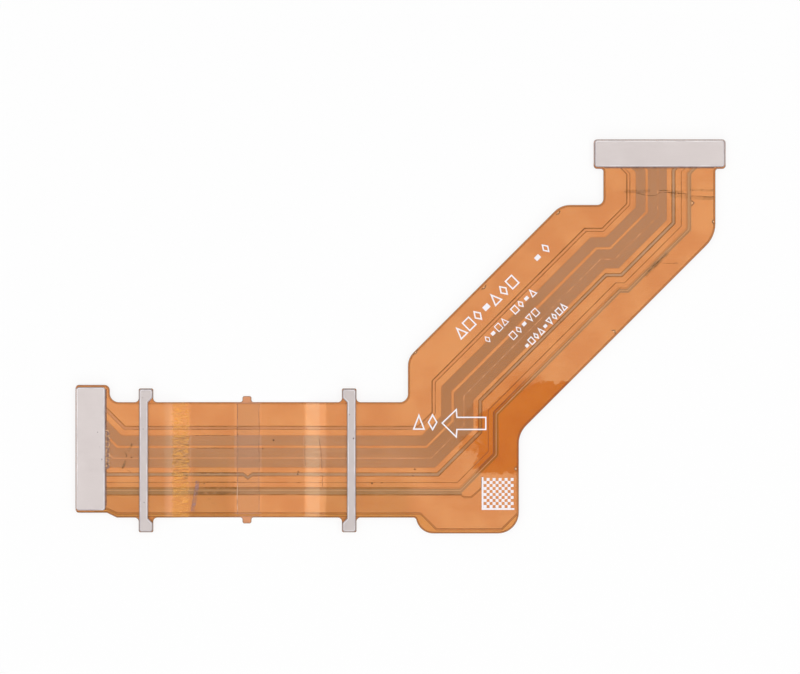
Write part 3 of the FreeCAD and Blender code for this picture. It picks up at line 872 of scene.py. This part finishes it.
# %% Strokes
def stroke(points, width, closed=False):
    """A flat line through points in metres, so many millimetres wide."""
    left, right = [], []
    count = len(points)
    for k in range(count):
        before = points[k - 1] if closed or k else None
        after = points[(k + 1) % count] if closed or k < count - 1 else None
        one = (points[k] - before).normalized() if before is not None else None
        two = (after - points[k]).normalized() if after is not None else None
        one, two = one or two, two or one
        across = Vector((-one.y, one.x, 0)) + Vector((-two.y, two.x, 0))
        across *= width * MM / across.length_squared
        left.append(points[k] + across)
        right.append(points[k] - across)
    if closed:
        left.append(left[0])
        right.append(right[0])
    return lay_strip("stroke", left, right)


# %% [markdown]
# ## White ink
# The real cable carries lettering, which stays off this part. In its place are plain signs of
# the same size: squares, triangles, kites, roofs and blocks. The arrow is a plain
# direction arrow and stays. Screen-printed epoxy ink stands 0.012 mm proud.

# %% Signs
ink = mottled("screen-printed epoxy ink", 0.0, 0.55, 0.25, "EDE6EA", "F8F4F6")
ink_level = film_top / MM
ink_height = 0.012
outlines = {
    "square": [(-1, -1), (1, -1), (1, 1), (-1, 1)],
    "triangle": [(-1, -1), (1, -1), (0, 1)],
    "kite": [(0, -1), (0.8, 0), (0, 1), (-0.8, 0)],
    "roof": [(-1, 1), (0, -1), (1, 1)],
}


def sign(kind, middle, width, height, line, slanted):
    """The stroke of one plain sign. slanted ones lean with the arm, by 45 degrees."""
    along = Vector((1, 1, 0)).normalized() if slanted else Vector((1, 0, 0))
    up = Vector((-along.y, along.x, 0))

    def spot(a, b):
        return middle + (along * a * width + up * b * height) * MM / 2

    if kind == "block":
        return stroke([spot(0, -0.5), spot(0, 0.5)], width * 0.8)
    return stroke([spot(a, b) for a, b in outlines[kind]], line, True)


print(len(outlines) + 1, "kinds of sign")

# %% Arrow and signs
rows = [
    ((460.6, 332.2), (512.1, 282.1), 0.95, 1.15, 0.16,
     "triangle square kite block triangle kite square"),
    ((537.6, 257.6), (545.6, 248.3), 0.80, 1.00, 0.15, "block kite"),
    ((487.6, 339.3), (504.2, 321.4), 0.60, 0.75, 0.10, "kite block square triangle"),
    ((515.0, 309.7), (532.2, 292.7), 0.62, 0.75, 0.13, "square kite block triangle"),
    ((513.1, 335.4), (535.4, 312.5), 0.60, 0.75, 0.11, "square kite block roof square"),
    ((527.1, 345.6), (563.5, 306.7), 0.50, 0.70, 0.13,
     "block square kite triangle block roof kite square triangle"),
]
arrow = [(442.2, 423.1), (456.3, 409.6), (456.9, 417.4), (485.8, 417.4), (485.8, 429.5),
         (456.9, 429.5), (456.3, 437.0)]
strokes = []
for first, last, width, height, line, kinds in rows:
    kinds = kinds.split()
    for k, kind in enumerate(kinds):
        share = k / max(len(kinds) - 1, 1)
        middle = at(first[0] + (last[0] - first[0]) * share,
                    first[1] + (last[1] - first[1]) * share, ink_level)
        strokes.append(sign(kind, middle, width, height, line, True))
strokes.append(sign("triangle", at(418.9, 422.3, ink_level), 1.15, 1.50, 0.16, False))
strokes.append(sign("kite", at(432.6, 422.3, ink_level), 1.15, 1.60, 0.16, False))
strokes.append(stroke([at(x, y, ink_level) for x, y in arrow][::-1], 0.15, True))
signs = join("ink_signs", strokes)
edit(signs)
bpy.ops.mesh.remove_doubles(threshold=0.001 * MM)
bpy.ops.object.mode_set(mode="OBJECT")
solidify(signs, ink_height)
finish_piece(signs, ink)

# %% [markdown]
# The square mark is a plain chequered field. It starts as a grid, every second square is
# deleted, and a border on two sides is laid as a stroke.

# %% Chequered square
corner = at(483.6, 508.0, ink_level)
field = 3.30 * MM
squares = 10
bpy.ops.object.select_all(action="DESELECT")
bpy.ops.mesh.primitive_grid_add(x_subdivisions=squares, y_subdivisions=squares, size=field,
                                location=corner + Vector((field / 2, field / 2, 0)))
grid = bpy.context.object
bpy.ops.object.transform_apply(location=True, rotation=True, scale=True)
bpy.ops.object.mode_set(mode="EDIT")
bpy.ops.mesh.select_mode(type="FACE")
for face in bmesh.from_edit_mesh(grid.data).faces:
    spot = (face.calc_center_median() - corner) / field * squares
    face.select_set((int(spot.x) + int(spot.y)) % 2 == 1)
bpy.ops.mesh.delete(type="FACE")
bpy.ops.mesh.select_all(action="SELECT")
bpy.ops.mesh.edge_split()
bpy.ops.object.mode_set(mode="OBJECT")

# %% Border of the chequered square
across, upward = Vector((1, 0, 0)), Vector((0, 1, 0))
border_gap, border_extra, border_width = 0.11, 0.2, 0.20
start = corner - (across + upward) * border_gap * MM
reach = field + border_extra * MM
border = stroke([start + upward * reach, start, start + across * reach], border_width)
chequer = join("ink_chequer", [grid, border])
solidify(chequer, ink_height)
finish_piece(chequer, ink)

# %% [markdown]
# ## Tape edges, creases and handling marks
# The band's two edges show as thin, slightly ragged lines, palest near the lower end of the left
# one. Marks on the film lie a hair over it, so that the two never meet in one plane.

# %% Tape edges
hair, mark_gap, mark_height = 0.0005, 0.001, 0.003
band_height = 0.03
edge_height = 0.004
pale, tree, place = new_material("tape edge line", 0.0, 0.4)
x, y = add(tree, "SeparateXYZ", {0: place}).outputs[:2]
pale_lower_end = area(tree, (x, -17, -17.2), (y, -15.8, -16.6))
dress(pale, tone=coat(tree, "B48268", (clouds(tree, place, 0.8), "C49C86"),
                      (pale_lower_end, "F4D0B4")),
      alpha=clouds(tree, place, 1.2, cut=(0.40, 0.55), reach=(0.25, 0.75)))
edge_top, edge_step, edge_points, edge_width = 404.0, 9.2, 13, 0.05
edges = [stroke([at(edge_x + wobble * math.sin(k * 1.7), edge_top + k * edge_step)
                 for k in range(edge_points)], edge_width)
         for edge_x, wobble in ((237.2, 0.25), (258.9, -0.2))]
settle(join("tape_edges", edges), "front_cover_film", band_height + mark_gap, edge_height, pale)

# %% [markdown]
# The neck has creases across it, and the left part of the strip a pale one. Their shade is
# painted as dark strokes, and the pale one as a painted highlight. Right of the left slope the
# shade beside the traces is painted deeper, and a line of painted shadow runs beside the two
# plates. All are strokes that fade in and out along their way.


# %% Marks on the film
def film_marks(name, finish, dark, light, faint, strong, lines):
    """Strokes on the cover film, each with its points in the picture and its width in
    millimetres. Their alpha wanders between faint and strong."""
    material, tree, place = new_material(finish, 0.0, 0.5)
    dress(material, tone=coat(tree, dark, (clouds(tree, place, 0.8), light)),
          alpha=clouds(tree, place, 0.4, 4.0, cut=(0.36, 0.62), reach=(faint, strong)))
    marks = join(name, [stroke([at(x, y) for x, y in points], width)
                        for points, width in lines])
    cut_at_slopes(marks)
    settle(marks, "front_cover_film", mark_gap, mark_height, material)


# %% Painted shade of creases and folds
film_marks("creases", "painted shade of a crease in the film", "75481C", "8E6030", 0.03, 0.17, [
    ([(636.4, 193.2), (640.7, 193.9), (645.7, 195.4), (650.0, 195.7), (655.7, 195.4),
      (657.9, 193.6), (660.0, 192.4), (667.0, 192.5), (672.0, 192.9), (676.0, 193.6),
      (682.0, 193.4), (688.0, 194.3)], 0.09),
    ([(659.0, 190.4), (663.0, 190.5), (668.0, 190.8)], 0.10),
    ([(691.8, 195.9), (702.0, 196.2), (710.0, 197.1), (714.2, 196.6)], 0.09),
    ([(604.2, 303.5), (623.8, 284.5), (630.8, 284.5)], 0.05),
    ([(318.9, 438.0), (320.2, 447.0), (321.1, 455.0), (322.1, 469.0)], 0.08),
    ([(322.2, 476.0), (322.3, 487.0)], 0.06),
    ([(305.3, 438.0), (304.9, 452.0), (305.2, 466.0)], 0.06),
    ([(652.0, 266.4), (655.2, 263.6)], 0.10), ([(656.6, 263.6), (659.0, 261.2)], 0.10),
    ([(660.6, 260.0), (663.2, 256.8)], 0.08), ([(648.4, 271.6), (650.6, 269.0)], 0.08),
    ([(655.0, 266.8), (657.4, 264.6)], 0.07), ([(663.0, 263.4), (678.0, 263.2)], 0.08),
])
film_marks("soft_folds", "painted shade of a soft fold in the film", "7A4A1C", "94602C", 0.01, 0.07, [
    ([(207.5, 499.0), (210.5, 499.4)], 0.20), ([(211.5, 503.4), (216.0, 503.8)], 0.16),
    ([(624.0, 191.4), (640.0, 191.6), (650.0, 191.0)], 0.36),
    ([(668.0, 191.4), (684.0, 192.6)], 0.36),
    ([(670.0, 195.4), (688.0, 196.9)], 0.36),
    ([(690.4, 190.2), (702.0, 190.2), (713.6, 190.4)], 0.22),
    ([(690.4, 197.6), (702.0, 198.2), (713.6, 198.4)], 0.36),
    ([(645.0, 275.4), (652.0, 268.4), (660.0, 260.8), (668.0, 252.6)], 0.50),
])

# %% Scratches, painted shade and a painted crease highlight
film_marks("brown_scratches", "brown scratch", "664E26", "856A3A", 0.03, 0.17, [
    ([(132.2, 443.4), (130.2, 447.6), (128.8, 451.4)], 0.20),
    ([(126.8, 454.6), (125.9, 457.6)], 0.14),
    ([(125.4, 461.0), (123.8, 466.0), (122.0, 468.6)], 0.24),
    ([(124.6, 451.2), (126.4, 455.2)], 0.08), ([(130.6, 457.4), (132.2, 457.8)], 0.12),
    ([(127.2, 469.6), (130.8, 472.6)], 0.08),
])
# Deeper painted shade beside the traces, right of the left slope.
film_marks("deep_groove_shade", "deeper painted shade in the grooves", "8A4E0E", "A86A20", 0.04, 0.18, [
    ([(195.0, 435.6), (206.0, 435.4), (230.0, 435.6)], 0.08),
    ([(196.0, 448.4), (215.0, 448.2), (233.0, 448.4)], 0.10),
    ([(199.0, 473.2), (236.0, 473.4)], 0.13), ([(203.0, 482.2), (236.0, 482.4)], 0.12),
    ([(204.0, 488.0), (236.0, 488.2)], 0.16), ([(196.0, 493.2), (236.0, 493.2)], 0.20),
])
# A pale stroke painted as a highlight on a crease.
film_marks("crease_highlight", "painted highlight on a crease", "B48A90", "C8A09C", 0.06, 0.30, [
    ([(197.4, 481.0), (196.4, 488.0), (195.2, 495.0), (193.6, 504.0), (192.4, 511.6)], 0.42),
])
# A dark line of painted shadow beside the left plate's right edge and the right plate's foot.
plate_shadow_offset, plate_shadow_width = 0.7, 0.12
plate_side = plate_right / pixel + picture_middle_x + plate_shadow_offset
plate_foot = picture_middle_y - plate_bottom / pixel + plate_shadow_offset
film_marks("plate_shadow_lines", "painted shadow beside a plate", "8C6250", "A47A62", 0.5, 0.9, [
    ([(plate_side, 389.0), (plate_side, 506.0)], plate_shadow_width),
    ([(604.2, plate_foot), (714.4, plate_foot)], plate_shadow_width),
])

# %% [markdown]
# Etching leaves small nicks in the rim of the copper. Each is a little chevron on the line, drawn
# in the same painted shade as the copper rims, with a pale fleck of bare film in its crook.

# %% Nicks
nicks = [
    [(481.5, 289.2), (484.6, 288.4), (486.0, 284.8)],
    [(413.0, 354.5), (416.2, 353.2), (417.6, 349.8)],
    [(556.0, 214.6), (558.8, 213.6), (560.0, 210.8)],
    [(691.2, 200.4), (694.1, 202.9), (691.4, 205.9)],
    [(714.2, 218.9), (712.2, 221.7), (714.0, 224.1)],
    [(517.1, 466.2), (514.3, 469.0), (516.6, 471.1)],
    [(611.6, 330.6), (614.6, 330.4), (615.2, 333.6)],
]
nick_width = 0.10
nick_marks = join("etched_nicks", [stroke([at(x, y) for x, y in points], nick_width)
                                   for points in nicks])
settle(nick_marks, "front_cover_film", hair, mark_height, copper_rim_shade)

# %% [markdown]
# Beside the left plate is a row of vias, the plated holes that take a trace to the other side.
# The plate covers half of each, so they show as nested arcs.

# %% Discs
disc_corners = 20
plate_clearance = 0.01


def disc(middle, radius, hole=0.0):
    """A flat disc, or a ring if it has a hole. Radii are in millimetres."""
    bpy.ops.object.select_all(action="DESELECT")
    bpy.ops.mesh.primitive_circle_add(vertices=disc_corners, radius=radius * MM,
                                      fill_type="NGON", location=middle)
    obj = bpy.context.object
    bpy.ops.object.transform_apply(location=True, rotation=True, scale=True)
    if hole:
        edit(obj)
        bpy.ops.mesh.inset(thickness=(radius - hole) * MM, depth=0)
        bpy.ops.mesh.delete(type="FACE")
        bpy.ops.object.mode_set(mode="OBJECT")
    return obj


def cut_at_plate(obj):
    """Takes away what lies under the left plate."""
    edit(obj)
    bpy.ops.mesh.bisect(plane_co=((plate_right + plate_clearance) * MM, 0, 0),
                        plane_no=(1, 0, 0), clear_inner=True)
    bpy.ops.object.mode_set(mode="OBJECT")


# %% Vias
land_radius, ring_radius, plug_radius = 0.42, 0.29, 0.15
hole_height = 0.002
via_x, first_via_y, via_pitch, via_count = 106.2, 433.6, 5.35, 7
via_spots = [at(via_x, first_via_y + via_pitch * k) for k in range(via_count)]
lands = join("via_lands", [disc(spot, land_radius, ring_radius) for spot in via_spots]
             + [disc(spot, plug_radius) for spot in via_spots])
cut_at_plate(lands)
plating = mottled("plated via land", 0.3, 0.40, 0.35, "9A7056", "CA9C74", (0.4, 0.6))
settle(lands, "front_cover_film", hair, edge_height, plating)
holes = join("via_holes", [disc(spot, ring_radius, plug_radius) for spot in via_spots])
cut_at_plate(holes)
# The dark ring inside each land is painted shade in the hole.
shadow = mottled("via hole", 0.0, 0.6, 0.3, "6A5048", "907068", (0.4, 0.6))
settle(holes, "front_cover_film", hair, hole_height, shadow)

# %% Flecks beside the nicks
fleck_radius = 0.08
flecks = []
for first, middle, last in nicks:
    spot = [(first[k] + last[k]) * 0.3 + middle[k] * 0.4 for k in (0, 1)]
    flecks.append(disc(at(*spot), fleck_radius))
bare = mottled("bare film fleck", 0.0, 0.4, 0.3, "E6B47C", "F2CCA0")
settle(join("pale_flecks", flecks), "front_cover_film", hair, mark_height, bare)

# %% [markdown]
# Handling left a few brown spots on the film and dark specks on the steel. Each is a small disc,
# pressed to an oval.


# %% Brown spots
def oval(x, y, width, height):
    """An oval at a place in the picture. Its half sizes are in the picture's pixels."""
    shape = disc(Vector((0, 0, 0)), 1.0)
    shape.scale = (width * pixel, height * pixel, 1)
    shape.location = at(x, y)
    bpy.ops.object.transform_apply(location=True, rotation=True, scale=True)
    return shape


spots = [
    (131.6, 457.6, 0.7, 0.6), (273.4, 440.3, 1.0, 0.9), (262.8, 448.6, 0.7, 0.7),
    (298.2, 472.0, 0.9, 1.1), (297.6, 474.4, 0.8, 0.7), (298.4, 482.8, 0.7, 0.6),
    (372.0, 483.6, 0.9, 1.2), (381.8, 482.6, 0.8, 0.7), (414.6, 469.4, 1.1, 0.8),
    (413.0, 476.0, 0.7, 0.6), (204.0, 484.0, 0.9, 0.7),
]
stained, tree, place = new_material("brown spot", 0.0, 0.5)
dress(stained, tone="7E5226",
      alpha=clouds(tree, place, 0.16, 3.0, cut=(0.40, 0.60), reach=(0.08, 0.50)))
brown_spots = join("brown_spots", [oval(*spot) for spot in spots])
settle(brown_spots, "front_cover_film", mark_gap, mark_height, stained)

# %% Specks on the steel
speck_spots = {
    "left_stiffener_plate": [(97.6, 432.2, 0.5, 0.4), (102.0, 459.4, 0.4, 0.9)],
    "left_bar": [(143.3, 429.0, 0.5, 0.4), (144.3, 502.3, 0.5, 0.5), (139.8, 506.6, 0.4, 0.5)],
    "right_bar": [(349.6, 414.6, 0.4, 0.6)],
}
groups = []
for node, places in speck_spots.items():
    groups.append(join("specks", [oval(*spot) for spot in places]))
    drop_onto(groups[-1], node, hair)
steel_specks = join("steel_specks", groups)
solidify(steel_specks, mark_height)
finish_piece(steel_specks, mottled("grime in a pit", 0.0, 0.6, 0.1, "544A4E", "857A7E"))

# %% [markdown]
# ## Light
# Soft and even, as for a picture in a catalogue. The sky is white above and greyer towards
# the horizon, which is what gives the steel its darker outlines. Three large soft boxes stand
# left, right and in front, so that both slopes and the rolled edges of the steel shine. The sky
# is so even that its light is found by chance alone, with no map of its bright parts. That also
# spares the two clear films an error: rays that look for a bright part stop after a few layers.


# %% Sky
def seen(tree):
    """1 for rays from the camera and for mirrored and transmitted ones, 0 for the others."""
    rays = add(tree, "LightPath", {}).outputs
    return union(tree, rays["Is Camera Ray"], rays["Is Glossy Ray"], rays["Is Transmission Ray"])


world = bpy.data.worlds.new("studio")
bpy.context.scene.world = world
world.use_nodes = True
world.cycles.sampling_method = "NONE"
tree = world.node_tree
tree.nodes.clear()
up = add(tree, "SeparateXYZ", {0: add(tree, "TexCoord", {}).outputs["Generated"]}).outputs[2]
height = add(tree, "MapRange", {"Value": up, "From Min": 0.0, "From Max": 0.75},
             interpolation_type="SMOOTHSTEP").outputs[0]
level = add(tree, "MapRange", {"Value": seen(tree), "To Min": 0.80, "To Max": 1.0},
            interpolation_type="SMOOTHSTEP").outputs[0]
sky = add(tree, "Background", {"Color": coat(tree, "B8B8BC", (height, "FFFFFF")),
                               "Strength": level})
add(tree, "OutputWorld", {"Surface": sky.outputs[0]})
print("sky:", len(tree.nodes), "nodes")

# %% Soft boxes
boxes = {
    "left_box": ((-0.30, 0.0, 0.52), 0.5, 0.16, 0.5),
    "right_box": ((0.30, 0.0, 0.52), 0.5, 0.16, 0.5),
    "front_box": ((0.05, -0.50, 0.30), 0.6, 0.2, 0.7),
}
for name, (spot, width, depth, power) in boxes.items():
    facing = (-Vector(spot)).to_track_quat("-Z", "Y").to_euler()
    bpy.ops.object.light_add(type="AREA", location=spot, rotation=facing)
    lamp = bpy.context.object
    lamp.name = name
    lamp.data.shape = "RECTANGLE"
    lamp.data.size = width
    lamp.data.size_y = depth
    lamp.data.energy = power
print(len(boxes), "soft boxes, turned to the middle of the cable")

# %% [markdown]
# The table is plain white. What the camera sees of it, straight or mirrored, has a glow of its
# own, so that it stays white round the cable, and the cable's shadow still shows on it.

# %% Floor
floor_size, floor_level, glow_share = 3.0, -0.01 * MM, 0.85
bpy.ops.mesh.primitive_plane_add(size=floor_size, location=(0, 0, floor_level))
floor = bpy.context.object
floor.name = "floor"
white, tree, place = new_material("white table", 0.0, 0.6)
dress(white, tone="F4F4F4")
glow = add(tree, "Emission", {"Color": "FFFFFF", "Strength": 1.0})
shine = add(tree, "MixShader", {0: area(tree, seen(tree), glow_share),
                                1: tree.nodes["Principled BSDF"].outputs[0],
                                2: glow.outputs[0]})
fill(tree, tree.nodes["Material Output"], {"Surface": shine.outputs[0]})
floor.data.materials.append(white)

# %% Finish
bpy.context.scene.view_settings.view_transform = "Standard"
